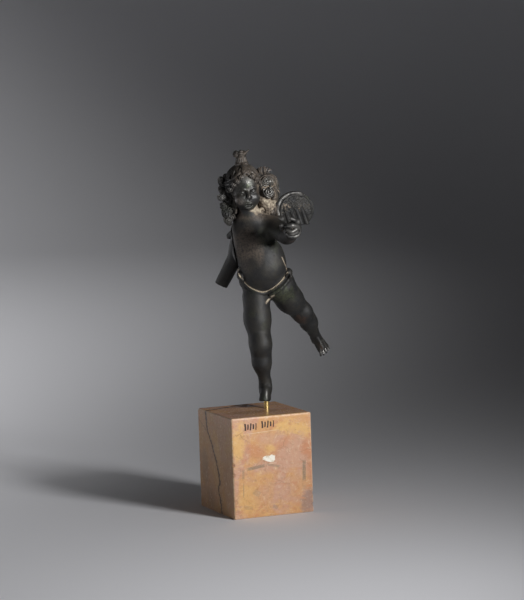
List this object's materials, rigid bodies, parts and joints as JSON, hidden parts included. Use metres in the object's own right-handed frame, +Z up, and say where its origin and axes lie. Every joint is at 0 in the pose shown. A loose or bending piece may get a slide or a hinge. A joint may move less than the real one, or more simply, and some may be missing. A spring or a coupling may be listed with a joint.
{
  "type": "figurine",
  "caption": "Dark bronze figurine of a winged child with a topknot and rolled curls, a leg raised behind, held by a brass pin on a square block of yellow and pink marble.",
  "frame": {"origin": "middle of the marble block's underside", "axes": "+Z up, and -Y out of the block's front face, to which the figurine turns its face and outstretched arm"},
  "size_m": [0.0718, 0.0633, 0.1796],
  "materials": {
    "bronze": "near-black green-brown patina with a satin sheen, rubbed bright on raised places, pale ochre deposit in the folds and hair",
    "pin_brass": "plain drawn rod, lightly dulled",
    "marble": "polished yellow and salmon marble with mauve veins, edges a little worn"
  },
  "bodies": {
    "root": {"bronze_figurine": "bronze", "brass_pin": "pin_brass", "marble_block": "marble"}
  },
  "joints": []
}
